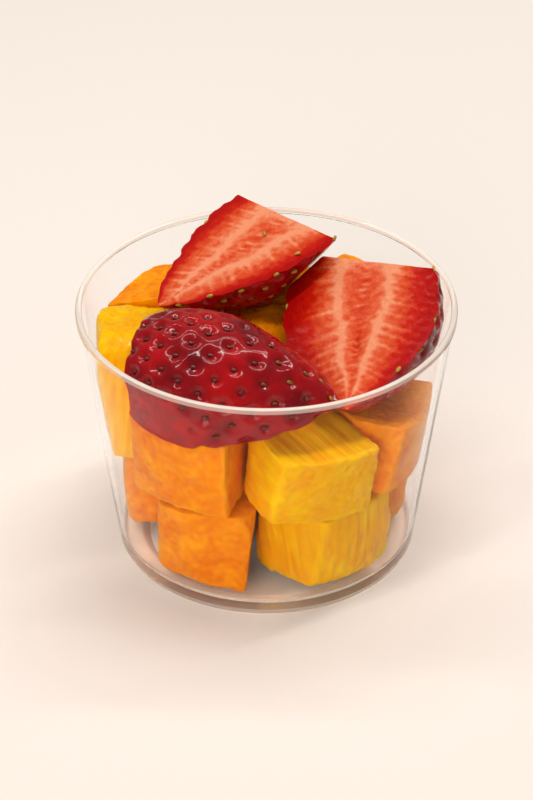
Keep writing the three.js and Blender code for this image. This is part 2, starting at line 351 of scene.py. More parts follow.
def waves(points, wavelength, variant):
    """Sum of sine waves near one wavelength with random headings, mostly from 0 to 1."""
    draws = np.random.default_rng(variant)
    headings = draws.normal(size=(WAVE_COUNT, points.shape[-1]))
    headings /= np.linalg.norm(headings, axis=1, keepdims=True)
    rates = 2 * math.pi / (wavelength * draws.uniform(*WAVE_LENGTHS, WAVE_COUNT))
    phases = draws.uniform(0, 2 * math.pi, WAVE_COUNT)
    total = np.sin(points @ (headings * rates[:, None]).T + phases).sum(axis=-1)
    return np.clip(0.5 + WAVE_SPREAD * total / math.sqrt(WAVE_COUNT / 2), 0.0, 1.0)


def swell(points, wave, variant, share=1.0):
    """Waves of a given wavelength and height, times a share."""
    wavelength, height = wave
    return height * (waves(points, wavelength, variant) * share)


def curve(start, control, end, steps):
    """Points of a quadratic curve: (1-u)^2 start + 2u(1-u) control + u^2 end."""
    share = np.linspace(0, 1, steps)[:, None]
    start, control, end = np.asarray(start), np.asarray(control), np.asarray(end)
    return (1 - share) ** 2 * start + 2 * share * (1 - share) * control + share**2 * end


def turned_faces(rows, columns):
    """Quads of a grid whose columns close up, and fans to its two poles, which come last."""
    column = np.arange(columns)
    following = (column + 1) % columns
    low = (np.arange(rows - 1) * columns)[:, None]
    high = low + columns
    quads = np.stack([low + column, low + following, high + following, high + column], axis=-1)
    last = (rows - 1) * columns
    first_fan = np.stack([np.full(columns, rows * columns), following, column], axis=-1)
    last_fan = np.stack([np.full(columns, rows * columns + 1), last + column, last + following], axis=-1)
    return quads.reshape(-1, 4), first_fan, last_fan


def turned_form(radius, height, poles, columns):
    """Points and faces of an outline turned about the third axis, its poles last."""
    turn = np.arange(columns) * 2 * math.pi / columns
    grid = np.broadcast_arrays(radius * np.cos(turn), radius * np.sin(turn), height)
    grid = np.stack(grid, axis=-1).reshape(-1, 3)
    points = np.concatenate([grid, [[0, 0, pole] for pole in poles]])
    return points, turned_faces(len(radius), columns)


def put_piece(name, points, faces, materials, nodes=(), sharp=None):
    """Makes a mesh object from points in millimetres, in place of CAD nodes."""
    mesh = bpy.data.meshes.new(name)
    polygons = [corners for group in faces for corners in group.tolist()]
    mesh.from_pydata((np.asarray(points) * MM).tolist(), [], polygons)
    mesh.polygons.foreach_set("use_smooth", np.ones(len(mesh.polygons), dtype=bool))
    if sharp is not None:
        mesh.set_sharp_from_angle(angle=sharp)
    for material in materials:
        mesh.materials.append(material)
    piece = bpy.data.objects.new(name, mesh)
    bpy.context.scene.collection.objects.link(piece)
    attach(piece, BODY)
    if nodes:
        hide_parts(*nodes)
    return piece


def put_attribute(piece, name, values):
    """Stores one number or one vector for each point of a piece."""
    values = np.asarray(values, dtype=np.float32)
    kind, field = ("FLOAT_VECTOR", "vector") if values.ndim == 2 else ("FLOAT", "value")
    attribute = piece.data.attributes.new(name, kind, "POINT")
    attribute.data.foreach_set(field, values.ravel())


def new_material(name):
    """A new material, its tree and its Principled shader."""
    material = bpy.data.materials.new(name)
    material.use_nodes = True
    return material, material.node_tree, material.node_tree.nodes["Principled BSDF"]


def add_node(tree, kind, inputs=None, **settings):
    """Adds a node, sets it up, and links or sets its inputs."""
    node = tree.nodes.new(kind)
    for key, value in settings.items():
        setattr(node, key, value)
    wire(tree, node, inputs or {})
    return node


def wire(tree, node, inputs):
    """Links the inputs that are sockets and sets the others."""
    for key, value in inputs.items():
        if isinstance(value, bpy.types.NodeSocket):
            tree.links.new(value, node.inputs[key])
        else:
            node.inputs[key].default_value = value


def read_attribute(tree, name, output="Fac"):
    """The socket that gives one of the piece's own attributes."""
    return add_node(tree, "ShaderNodeAttribute", attribute_name=name).outputs[output]


def object_place(tree):
    """The socket of the place in the piece's own frame."""
    return add_node(tree, "ShaderNodeTexCoord").outputs["Object"]


def noise(tree, place, scale, detail=3.0):
    """The socket of a noise from 0 to 1 over a place."""
    inputs = {"Vector": place, "Scale": scale, "Detail": detail}
    return add_node(tree, "ShaderNodeTexNoise", inputs).outputs["Fac"]


def remap(tree, value, low, high, to_low=0.0, to_high=1.0):
    """The socket of a value carried from one range to another, and held inside it."""
    inputs = {"Value": value, "From Min": low, "From Max": high, "To Min": to_low, "To Max": to_high}
    return add_node(tree, "ShaderNodeMapRange", inputs).outputs["Result"]


def spread(tree, value, to_low, to_high):
    """The socket of a noise carried from its usual values to a range."""
    return remap(tree, value, *NOISE_RANGE, to_low, to_high)


def drawn_out(tree, place, share):
    """The socket of a place squeezed along its third axis, to draw out a noise there."""
    inputs = {"Vector": place, "Scale": (1.0, 1.0, share)}
    return add_node(tree, "ShaderNodeMapping", inputs).outputs["Vector"]


def combine(tree, operation, first, second):
    """The socket of two numbers added, multiplied or the like."""
    return add_node(tree, "ShaderNodeMath", {0: first, 1: second}, operation=operation).outputs[0]


def mixed(tree, share, first, second):
    """The socket of a colour between two colours."""
    inputs = {0: share}
    for key, colour in ((6, first), (7, second)):
        inputs[key] = colour if isinstance(colour, bpy.types.NodeSocket) else (*colour, 1.0)
    return add_node(tree, "ShaderNodeMix", inputs, data_type="RGBA").outputs[2]


def ramp(tree, share, stops):
    """The socket of a colour ramp with stops of place and colour."""
    node = add_node(tree, "ShaderNodeValToRGB", {"Fac": share})
    elements = node.color_ramp.elements
    while len(elements) < len(stops):
        elements.new(0.5)
    for element, (place, colour) in zip(elements, stops):
        element.position = place
        element.color = (*colour, 1.0)
    return node.outputs["Color"]


def bump(tree, height, strength, distance):
    """The socket of a normal that a height in the material bends."""
    inputs = {"Height": height, "Strength": strength, "Distance": distance}
    return add_node(tree, "ShaderNodeBump", inputs).outputs["Normal"]


def let_lamps_through(tree, shader, share):
    """Lets a share of the lamps' light straight through, so that the shadow is faint."""
    path = add_node(tree, "ShaderNodeLightPath").outputs["Is Shadow Ray"]
    colour = (share, share, share, 1.0)
    through = add_node(tree, "ShaderNodeBsdfTransparent", {"Color": colour}).outputs[0]
    both = add_node(tree, "ShaderNodeMixShader", {0: path, 1: shader.outputs[0], 2: through}).outputs[0]
    tree.links.new(both, tree.nodes["Material Output"].inputs["Surface"])


def clear_plastic(colours):
    """Clear moulded plastic, a little wavy."""
    material, tree, shader = new_material("clear_plastic")
    drawn = drawn_out(tree, object_place(tree), 0.25)
    settings = {
        "Base Color": (*colours.plastic, 1.0),
        "Roughness": 0.01,
        "IOR": 1.11,
        "Transmission Weight": 1.0,
        "Coat Weight": 0.04,
        "Coat Roughness": 0.04,
        "Normal": bump(tree, noise(tree, drawn, 70.0, 1.0), 0.25, 0.0006),
    }
    wire(tree, shader, settings)
    let_lamps_through(tree, shader, 0.93)
    return material


def painted_light_plastic(name, colours, clearness):
    """Cream plastic of a thick edge, more or less clear: a painted highlight on the lip and painted light
    over the shade at the heel.
    """
    material, tree, shader = new_material(name)
    settings = {
        "Base Color": (*colours.lip, 1.0),
        "Roughness": 0.12,
        "IOR": 1.4,
        "Transmission Weight": clearness,
    }
    wire(tree, shader, settings)
    let_lamps_through(tree, shader, 0.85)
    return material


def strawberry_skin(colours):
    """Glossy red skin, ripe in patches, with painted shade darkening the pits round the seeds."""
    material, tree, shader = new_material("strawberry_skin")
    place = object_place(tree)
    pit = read_attribute(tree, "pit")
    patches = remap(tree, noise(tree, place, 110.0), 0.35, 0.65)
    red = mixed(tree, patches, colours.deep_skin_and_pit_shade, colours.skin)
    # Painted shade: the skin is darkened towards the deep skin colour in the pits round the seeds.
    with_pit_shade = mixed(tree, combine(tree, "MULTIPLY", pit, 0.6), red, colours.deep_skin_and_pit_shade)
    settings = {
        "Base Color": with_pit_shade,
        "Roughness": spread(tree, noise(tree, place, 600.0), 0.2, 0.34),
        "Specular IOR Level": 0.06,
        "Coat Weight": 0.5,
        "Coat Roughness": 0.06,
        "Subsurface Weight": 0.12,
        "Subsurface Radius": (1.0, 0.25, 0.15),
        "Subsurface Scale": 0.0015,
        "Normal": bump(tree, noise(tree, place, 1900.0), 0.18, 0.0003),
    }
    wire(tree, shader, settings)
    return material


def strawberry_flesh(colours):
    """Moist cut flesh, from red to salmon and pale veins by the piece's tone."""
    material, tree, shader = new_material("strawberry_flesh")
    cells = noise(tree, object_place(tree), 1400.0, 4.0)
    speck = remap(tree, cells, 0.25, 0.75, -0.09, 0.09)
    tone = combine(tree, "ADD", read_attribute(tree, "tone"), speck)
    stops = (
        (0.0, colours.flesh_edge),
        (0.36, colours.flesh),
        (0.66, colours.flesh_light),
        (1.0, colours.flesh_core),
    )
    settings = {
        "Base Color": ramp(tree, tone, stops),
        "Roughness": spread(tree, cells, 0.32, 0.5),
        "Specular IOR Level": 0.06,
        "Coat Weight": 0.05,
        "Coat Roughness": 0.12,
        "Subsurface Weight": 0.2,
        "Subsurface Radius": (1.0, 0.3, 0.2),
        "Subsurface Scale": 0.002,
        "Normal": bump(tree, cells, 0.3, 0.0004),
    }
    wire(tree, shader, settings)
    return material


def seed_coat(colours):
    """Hard shiny seeds, from pale to brown by the piece's tone."""
    material, tree, shader = new_material("seed_coat")
    speck = spread(tree, noise(tree, object_place(tree), 2600.0), -0.2, 0.2)
    tone = combine(tree, "ADD", read_attribute(tree, "tone"), speck)
    settings = {
        "Base Color": ramp(tree, tone, ((0.0, colours.seed_dark), (1.0, colours.seed_light))),
        "Roughness": 0.35,
    }
    wire(tree, shader, settings)
    return material


def block_flesh(kind, shades):
    """Moist flesh from deep to light, with a fine grain, patches of juice and rounded edges painted paler
    as a highlight.
    """
    blocks = BLOCKS[kind]
    material, tree, shader = new_material(f"{kind}_flesh")
    grain = read_attribute(tree, "grain", "Vector")
    fine = noise(tree, drawn_out(tree, grain, blocks["drawn"]), *blocks["fine"])
    patches = spread(tree, noise(tree, grain, *blocks["patches"]), *blocks["patch_tones"])
    tone = combine(tree, "ADD", patches, spread(tree, fine, *blocks["fine_tones"]))
    stops = tuple(zip((0.1, blocks["middle"], 0.95), shades))
    # Painted highlight: the rounded edges are mixed towards the lightest shade.
    edge = combine(tree, "MULTIPLY", read_attribute(tree, "edge"), blocks["edge_highlight_share"])
    settings = {
        "Base Color": mixed(tree, edge, ramp(tree, tone, stops), shades[-1]),
        "Roughness": spread(tree, fine, *blocks["roughness"]),
        "Specular IOR Level": 0.05,
        "Coat Weight": remap(tree, noise(tree, grain, 0.3, 2.0), 0.5, 0.62, 0.02, 0.28),
        "Coat Roughness": blocks["coat_roughness"],
        "Subsurface Weight": blocks["subsurface"],
        "Subsurface Radius": blocks["radius"],
        "Subsurface Scale": 0.003,
        "Normal": bump(tree, fine, blocks["bump"], 0.0006),
    }
    wire(tree, shader, settings)
    return material


def read_values(items, field, width):
    """One row of numbers for each item of a mesh."""
    values = np.empty(len(items) * width)
    items.foreach_get(field, values)
    return values.reshape(-1, width)


def node_points(name):
    """Corners of a CAD node, in millimetres."""
    return read_values(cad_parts[name].data.vertices, "co", 3) / MM


def flat_faces(name):
    """Outward normals, distances in millimetres and areas of a CAD node's flat faces."""
    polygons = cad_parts[name].data.polygons
    normals = read_values(polygons, "normal", 3)
    centres = read_values(polygons, "center", 3)
    areas = read_values(polygons, "area", 1)[:, 0]
    distances = np.einsum("ij,ij->i", normals, centres) / MM
    keys = np.round(np.column_stack([normals * 100, distances * 5]))
    _, group = np.unique(keys, axis=0, return_inverse=True)
    group = group.ravel()
    total = np.bincount(group, areas)
    merged = np.column_stack([np.bincount(group, areas * normals[:, axis]) for axis in range(3)])
    merged /= np.linalg.norm(merged, axis=1, keepdims=True)
    kept = total / MM**2 > SMALLEST_AREA
    return merged[kept], (np.bincount(group, areas * distances) / total)[kept], total[kept]


def parting_planes(name):
    """For each fruit close to a node, the node's flat face that leaves the widest gap to it."""
    normals, _, _ = flat_faces(name)
    reach = (node_points(name) @ normals.T).max(axis=0)
    planes = []
    for other in FRUIT_NODES:
        if other == name:
            continue
        gaps = (node_points(other) @ normals.T).min(axis=0) - reach
        widest = int(np.argmax(gaps))
        if gaps[widest] < NEIGHBOUR_DISTANCE:
            planes.append((normals[widest], reach[widest]))
    return planes


def inner_radius(height, sizes):
    """Radius of the wall's inner face at a height, straight from the foot to the rim."""
    foot = sizes.foot_diameter / MM / 2
    rim = sizes.rim_diameter / MM / 2 - LIP_OVERHANG
    return foot + (rim - foot) * height / (sizes.cup_height / MM) - WALL


def room_radius(height, sizes):
    """How far from the cup's axis fruit may reach at a height."""
    lip_inside = sizes.rim_diameter / MM / 2 - LIP_THICKNESS - GAP
    return np.minimum(inner_radius(height, sizes) - GAP, lip_inside)


def pressed(points, planes, sizes):
    """Points moved behind planes by s log(1 + e^(excess / s)), s the softness, and inside the wall."""
    for normal, distance in planes:
        excess = np.clip((points @ normal - distance) / PRESS_SOFTNESS, -40, 40)
        points = points - (PRESS_SOFTNESS * np.log1p(np.exp(excess)))[:, None] * normal
    reach = np.hypot(points[:, 0], points[:, 1])
    shrink = np.minimum(1.0, room_radius(points[:, 2], sizes) / np.maximum(reach, 1e-6))
    return points * np.column_stack([shrink, shrink, np.ones_like(shrink)])


def with_rounded_corners(corners):
    """A path through corners, each rounded, with points that keep the flats flat."""
    corners = np.asarray(corners, dtype=float)
    pieces = [corners[:1]]
    for before, corner, after in zip(corners[:-2], corners[1:-1], corners[2:]):
        length_back = np.linalg.norm(before - corner)
        length_ahead = np.linalg.norm(after - corner)
        back = (before - corner) / length_back
        ahead = (after - corner) / length_ahead
        near = min(CORNER_ROUNDING, CORNER_SHARE * min(length_back, length_ahead))
        far = near * CORNER_SUPPORT / CORNER_ROUNDING
        pieces.append([corner + far * back])
        pieces.append(curve(corner + near * back, corner, corner + near * ahead, CORNER_STEPS))
        pieces.append([corner + far * ahead])
    pieces.append(corners[-1:])
    return np.concatenate(pieces)


def tumbler_profile(sizes):
    """Radius and height along the tumbler's outline, from the middle underneath to the floor inside."""
    foot = sizes.foot_diameter / MM / 2
    rim = sizes.rim_diameter / MM / 2
    height = sizes.cup_height / MM
    lip = LIP_THICKNESS / 2
    lip_foot = height - LIP_HEIGHT
    floor_top = FOOT_RECESS + FLOOR_THICKNESS
    ring_inside = foot - FOOT_ROUNDING - FOOT_RING
    bend = np.linspace(0, math.pi, LIP_STEPS)
    over_lip = np.column_stack([rim - lip + lip * np.cos(bend), height - lip + lip * np.sin(bend)])
    floor_edge = inner_radius(floor_top, sizes)
    ring_edge = (foot - FOOT_ROUNDING, 0)
    heel_top = (inner_radius(FOOT_ROUNDING, sizes) + WALL, FOOT_ROUNDING)
    neck = inner_radius(lip_foot, sizes)
    toe_top = (inner_radius(floor_top + INNER_ROUNDING, sizes), floor_top + INNER_ROUNDING)
    toe_end = (floor_edge - INNER_ROUNDING, floor_top)
    under = [(0, FOOT_RECESS), (ring_inside - FOOT_RECESS, FOOT_RECESS), (ring_inside, 0), ring_edge]
    outside = [heel_top, (neck + WALL, lip_foot), (rim, lip_foot + LIP_OVERHANG), (rim, height - lip)]
    inside = [(rim - 2 * lip, height - lip), (neck, lip_foot), toe_top]
    under, outside, inside = (with_rounded_corners(path) for path in (under, outside, inside))
    heel = curve(ring_edge, (foot, 0), heel_top, CURVE_STEPS)
    toe = curve(toe_top, (floor_edge, floor_top), toe_end, CURVE_STEPS)
    floor = [(floor_edge - INNER_ROUNDING - 1, floor_top), (0, floor_top)]
    return np.concatenate([under, heel[1:], outside[1:], over_lip[1:], inside[1:], toe[1:], floor])


def berry_radius(along, berry):
    """Half width at a share of the length: 1 - a u^2 before the broadest place, (1 - u^b)^c after it."""
    broadest = berry["broadest"]
    before = 1 - (1 - berry["hulled"]) * ((broadest - along) / broadest) ** 2
    taper = np.clip((along - broadest) / (1 - broadest), 0, 1)
    share = np.where(along < broadest, before, np.maximum(0, 1 - taper**TIP_FULLNESS) ** TIP_ROUNDNESS)
    return share * berry["width"] / 2


def berry_axes(berry):
    """Axes of a half as rows, across, out of its cut face and along, with its shoulder and length."""
    shoulder = np.array(berry["shoulder"], dtype=float)
    along = np.array(berry["tip"], dtype=float) - shoulder
    length = np.linalg.norm(along)
    along /= length
    across = np.cross(np.array(berry["face"], dtype=float), along)
    across /= np.linalg.norm(across)
    return np.array([across, np.cross(along, across), along]), shoulder, length


def berry_point(along, angle, berry, length):
    """Place and normal on the smooth skin: the outline turned about the axis."""
    radius = berry_radius(along, berry)
    change = berry_radius(along + SLOPE_STEP, berry) - berry_radius(along - SLOPE_STEP, berry)
    slope = np.clip(change / (2 * SLOPE_STEP * length), -STEEPEST_SLOPE, STEEPEST_SLOPE)
    along, angle, radius, slope = np.broadcast_arrays(along, angle, radius, slope)
    place = np.stack([radius * np.cos(angle), radius * np.sin(angle), along * length], axis=-1)
    normal = np.stack([np.cos(angle), np.sin(angle), -slope], axis=-1)
    return place, normal / np.linalg.norm(normal, axis=-1, keepdims=True)


def seed_spiral():
    """Shares along and angles of the seeds of a whole berry, a golden angle apart."""
    count = np.arange(SEED_COUNT)
    return 1 - (1 - (count + 0.5) / SEED_COUNT) ** (1 / SEED_CROWDING), count * GOLDEN_ANGLE


def skin_relief(place, seeds, berry, sizes):
    """How far the skin lies off the smooth form, and the pits, whose mask also darkens the skin there as
    painted shade.

    Round each seed is a bowl s log(1 + e^(u / s)) with u = 1 - (distance / bowl radius)^2, whose rim is a
    soft edge, and a bell-shaped pit in it.
    """
    flat = place.reshape(-1, 3) * PIT_STRETCH
    seeds = seeds * PIT_STRETCH
    girth = np.random.default_rng(berry["variant"]).uniform(*BOWL_GIRTHS, len(seeds))
    apart = (flat**2).sum(axis=1)[:, None] + (seeds**2).sum(axis=1) - 2 * flat @ seeds.T
    nearest = np.sqrt(np.maximum((apart / girth**2).min(axis=1), 0)).reshape(place.shape[:-1])
    pit = bell(nearest, sizes.pit_radius / MM)
    inward = np.maximum(1 - (nearest / (sizes.bowl_radius / MM)) ** 2, -9)
    bowl = RIM_SOFTNESS * np.log1p(np.exp(inward / RIM_SOFTNESS))
    lumps = swell(place, BROAD_LUMPS, berry["variant"]) + swell(place, FINE_LUMPS, berry["variant"] + 1)
    relief = -sizes.bowl_depth / MM * bowl - sizes.pit_depth / MM * pit - lumps
    return relief * smoothstep(0.0, CALM_RADIUS, np.hypot(place[..., 0], place[..., 1])), pit


def strands(place, spacing, width, variant):
    """Bell-shaped strands of random strength, each a little off its even place."""
    draws = np.random.default_rng(variant)
    strength = draws.uniform(*STRAND_STRENGTHS, STRAND_KINDS)
    shift = draws.uniform(-STRAND_SHIFT, STRAND_SHIFT, STRAND_KINDS)
    nearest = np.round(place / spacing).astype(int)
    total = np.zeros(place.shape)
    for cell in (nearest - 1, nearest, nearest + 1):
        kind = cell % STRAND_KINDS
        total += strength[kind] * bell(place - (cell + shift[kind]) * spacing, width)
    return total


def face_looks(across, along, radius, length, berry):
    """Tone of the cut face from red 0 to pale 1, and its relief.

    Two pale veins run from the hulled end to the tip, with rays from them towards the skin, a speckled
    middle, a pale hulled end and a cavity, darker red inside as painted shade.
    """
    variant = berry["variant"]
    flat = np.stack([across, along], axis=-1)
    sides = np.stack([np.sign(across) * 40, along], axis=-1)
    share = np.abs(across) / np.maximum(radius, 0.5)
    left = along / length
    core = VEIN_PLACE * (1 - VEIN_CLOSING * left**VEIN_BEND)
    off_vein = share - core - VEIN_WANDER * (waves(sides, 14.0, variant + 6) - 0.5)
    veins = bell(off_vein, VEIN_WIDTH) + HALO_STRENGTH * bell(off_vein, HALO_WIDTH)
    veins *= 0.75 + 0.5 * waves(flat, 4.0, variant + 8)
    veins *= 1 - 0.5 * smoothstep(0.6, 1.0, left)
    beyond = np.abs(across) - core * radius
    lean = along - (RAY_LEAN + RAY_LEAN_GROWTH * left) * beyond + np.where(across > 0, 100, 0)
    long_rays = strands(lean, *LONG_RAYS, variant + 2) * fading(0.55, 0.98, share)
    short_rays = strands(lean, *SHORT_RAYS, variant + 3) * fading(core + 0.05, core + 0.4, share)
    rays = (long_rays + 0.8 * short_rays) * smoothstep(core - 0.06, core + 0.05, share)
    inner = strands(along + 0.5 * np.abs(across), *INNER_STRANDS, variant + 7)
    inner *= fading(core - 0.1, core, share)
    middle = bell(share, MIDDLE_WIDTH) * fading(0.75, 0.95, left)
    speckle = strands(along + 0.2 * across, *SPECKLES, variant + 4)
    grain = waves(flat, 2.4, variant + 5)
    tone = berry["pale"] * fading(*berry["fade"], share)
    tone += VEIN_TONE * veins + RAY_TONE * rays + INNER_TONE * inner
    tone += middle * (SPECKLE_TONE * speckle - MIDDLE_TONE)
    tone += HULLED_TONE * fading(0.0, 0.12, left) * fading(0.3, 0.9, share)
    tone += GRAIN_TONE * (grain - 0.5)
    tone -= SKIN_TONE * smoothstep(0.84, 1.0, share) + TIP_TONE * smoothstep(0.85, 1.0, left)
    raised = VEIN_HEIGHT * np.minimum(1, rays + veins)
    relief = -FACE_SINK - GRAIN_DEPTH * grain - MIDDLE_DEPTH * middle + raised
    wide, long = CAVITY_SIZE
    hollow = bell(across, wide) * bell(along - CAVITY_PLACE * length, long)
    # Painted shade: the face is darker red inside the cavity.
    tone = np.clip(tone - CAVITY_SHADE * hollow * berry["cavity"], 0, 1)
    return tone, relief * (1 - share**8) - berry["cavity"] * hollow


def berry_shape(berry, sizes):
    """A half berry as one closed grid, with its pits and tones, the poles last, and the grid's shape.

    Rows go from the middle of the hulled end, over its edge, to the tip, and columns round the skin and
    back over the cut face.
    """
    _, _, length = berry_axes(berry)
    along = np.sin(np.linspace(0, math.pi / 2, BERRY_ROWS, endpoint=False))[:, None]
    angle = np.linspace(math.pi, 2 * math.pi, ARC_COLUMNS + 1)
    place, normal = berry_point(along, angle, berry, length)
    seeds, _ = berry_point(*seed_spiral(), berry, length)
    relief, pit = skin_relief(place, seeds, berry, sizes)
    skin = place + normal * relief[..., None]
    share = np.linspace(0, 1, FACE_COLUMNS + 1)[1:-1, None]
    face = skin[:, -1:] * (1 - share) + skin[:, :1] * share
    radius = np.abs(skin[:, -1, 0] - skin[:, 0, 0])[:, None] / 2
    tone, hollow = face_looks(face[..., 0], face[..., 2], radius, length, berry)
    face[..., 1] += hollow
    body = np.concatenate([skin, face], axis=1)
    ring = body[0]
    centre = np.array([0, -CAP_MIDDLE * radius[0, 0], 0])
    out = (np.arange(1, CAP_ROWS) / CAP_ROWS)[:, None, None]
    dish = np.array([0, 0, sizes.hull_depth / MM])
    cap = centre + out * (ring - centre) + dish * (1 - out**2)
    columns = body.shape[1]
    cap_tone = CAP_TONE - CAP_TONE_FALL * smoothstep(0.25, 1.0, out[:, :, 0])
    cap_tone = np.broadcast_to(cap_tone, (CAP_ROWS - 1, columns))
    tones = np.concatenate([cap_tone, np.concatenate([np.zeros(skin.shape[:2]), tone], axis=1)])
    pits = np.zeros_like(tones)
    pits[CAP_ROWS - 1 :, : ARC_COLUMNS + 1] = pit
    points = np.concatenate([cap.reshape(-1, 3), body.reshape(-1, 3), [centre + dish, [0, 0, length]]])
    pole_tones = [CAP_TONE, TIP_POLE_TONE]
    return points, np.append(pits.ravel(), [0, 0]), np.append(tones.ravel(), pole_tones), tones.shape


def lean_hulled_end(points, berry, length):
    """Points moved along by the slant of the hulled end: tan(slant) * across * (1 - along / length)^2."""
    leant = points.copy()
    left = np.maximum(0, 1 - points[..., 2] / length)
    leant[..., 2] += math.tan(math.radians(berry["slant"])) * points[..., 0] * left**2
    return leant


def put_berry(name, berry, sizes, materials):
    """Makes one strawberry half, pressed behind the planes that part it from other fruit."""
    axes, shoulder, length = berry_axes(berry)
    points, pits, tones, (rows, columns) = berry_shape(berry, sizes)
    points = shoulder + lean_hulled_end(points, berry, length) @ axes
    points = pressed(points, parting_planes(berry["node"]), sizes)
    faces = turned_faces(rows, columns)
    piece = put_piece(name, points, faces, materials, [berry["node"]], SHARP_ANGLE)
    # The pit attribute is the mask of the painted shade in the skin's pits.
    put_attribute(piece, "pit", pits)
    put_attribute(piece, "tone", tones)
    of_skin = np.arange(columns) < ARC_COLUMNS
    on_body = np.arange(rows - 1) >= CAP_ROWS - 1
    cut = np.concatenate([~(on_body[:, None] & of_skin).ravel(), np.ones(columns, dtype=bool), ~of_skin])
    piece.data.polygons.foreach_set("material_index", cut.astype(np.int32))
    piece.data.update()


def seed_form(half_size):
    """A closed seed: an ellipsoid that narrows to one end."""
    lift = np.linspace(-math.pi / 2, math.pi / 2, SEED_ROWS + 2)[1:-1, None]
    girth = np.cos(lift) * (1 - SEED_NARROWING * np.sin(lift))
    points, faces = turned_form(girth, np.sin(lift), (-1, 1), SEED_COLUMNS)
    return points * half_size, faces


def berry_seeds(name, berry, sizes):
    """Places, axes and tones of the seeds on one half; axes go sideways, outwards and to the tip."""
    axes, shoulder, length = berry_axes(berry)
    place, normal = berry_point(*seed_spiral(), berry, length)
    relief, _ = skin_relief(place, place, berry, sizes)
    centre = place + normal * (relief + SEED_RISE)[:, None]
    ahead = np.array([0.0, 0.0, 1.0]) - normal * normal[:, 2:]
    ahead /= np.linalg.norm(ahead, axis=1, keepdims=True)
    if name == LOOSE_SEED_BERRY:
        loose = np.array(LOOSE_SEEDS)
        radius = berry_radius(loose[:, 1], berry)
        height = np.full(len(loose), LOOSE_SEED_HEIGHT)
        lying = np.column_stack([loose[:, 0] * radius, height, loose[:, 1] * length])
        heading = np.column_stack([np.cos(loose[:, 2]), 0 * loose[:, 2], np.sin(loose[:, 2])])
        centre = np.concatenate([centre, lying])
        normal = np.concatenate([normal, np.broadcast_to([0.0, 1.0, 0.0], lying.shape)])
        ahead = np.concatenate([ahead, heading])
    centre_there = shoulder + lean_hulled_end(centre, berry, length) @ axes
    kept = centre[:, 1] < SEED_FACE_LEVEL
    for plane, distance in parting_planes(berry["node"]):
        kept &= centre_there @ plane < distance - SEED_CLEARANCE
    room = room_radius(centre_there[:, 2], sizes) - SEED_WALL_CLEARANCE
    kept &= np.hypot(centre_there[:, 0], centre_there[:, 1]) < room
    side = np.cross(normal, ahead)
    tone = berry["seed_tone"] + 0.5 * smoothstep(0.5, 1.0, centre[:, 2] / length)
    tone += 0.35 * bell(centre[:, 1], 2.0)
    tone += np.random.default_rng(berry["variant"]).uniform(-0.2, 0.2, len(tone))
    seed_axes = np.stack([side @ axes, normal @ axes, ahead @ axes], axis=1)
    return centre_there[kept], seed_axes[kept], tone[kept]


def box_grid(half, steps):
    """Points and quads of six grids over a box of half sizes, closer at its edges and joined there."""
    share = np.linspace(-1, 1, steps + 1)
    share = (1 - EDGE_CROWDING) * share + EDGE_CROWDING * np.sin(share * math.pi / 2)
    first, second = np.meshgrid(share, share, indexing="ij")
    corner = np.arange((steps + 1) ** 2).reshape(steps + 1, steps + 1)
    quads = [corner[:-1, :-1], corner[1:, :-1], corner[1:, 1:], corner[:-1, 1:]]
    quads = np.stack(quads, axis=-1).reshape(-1, 4)
    points = []
    faces = []
    for axis in range(3):
        for sign in (1, -1):
            patch = np.empty((first.size, 3))
            patch[:, axis] = sign * half[axis]
            patch[:, (axis + 1) % 3] = first.ravel() * half[(axis + 1) % 3]
            patch[:, (axis + 2) % 3] = second.ravel() * half[(axis + 2) % 3]
            faces.append((quads if sign > 0 else quads[:, ::-1]) + len(points) * first.size)
            points.append(patch)
    points, joined = np.unique(np.round(np.concatenate(points), 5), axis=0, return_inverse=True)
    return points, joined.ravel()[np.concatenate(faces)]


def block_axes(normals, areas):
    """Axes of a block as rows: out of its largest face, out of the one most square to it, and across."""
    first = normals[np.argmax(areas)]
    square = areas * (1 - np.abs(normals @ first)) ** 2
    second = normals[np.argmax(square)]
    second = second - first * (second @ first)
    second /= np.linalg.norm(second)
    return np.array([first, second, np.cross(first, second)])


def block_shape(name):
    """Points, quads, normals, grain and edges of a block with soft edges inside its CAD node.

    Its reach in each direction is the sum over the faces of (normal . direction / distance)^p, to the
    power of -1/p.
    """
    normals, distances, areas = flat_faces(name)
    axes = block_axes(normals, areas)
    corners = node_points(name) @ axes.T
    half = (corners.max(axis=0) - corners.min(axis=0)) / 2
    centre = (corners.max(axis=0) + corners.min(axis=0)) / 2 @ axes
    room = distances - normals @ centre
    directions, quads = box_grid(half, BLOCK_STEPS)
    towards = directions @ axes
    terms = np.maximum(0, towards @ (normals / room[:, None]).T)
    largest = terms.max(axis=1, keepdims=True)
    weights = (terms / largest) ** EDGE_POWER
    reach = weights.sum(axis=1) ** (-1 / EDGE_POWER) / largest[:, 0]
    outward = weights @ normals / weights.sum(axis=1)[:, None]
    agreement = np.linalg.norm(outward, axis=1)
    points = centre + towards * reach[:, None]
    edge = smoothstep(0.0, EDGE_REACH, 1 - agreement)
    return points, quads, outward / agreement[:, None], directions * reach[:, None], edge


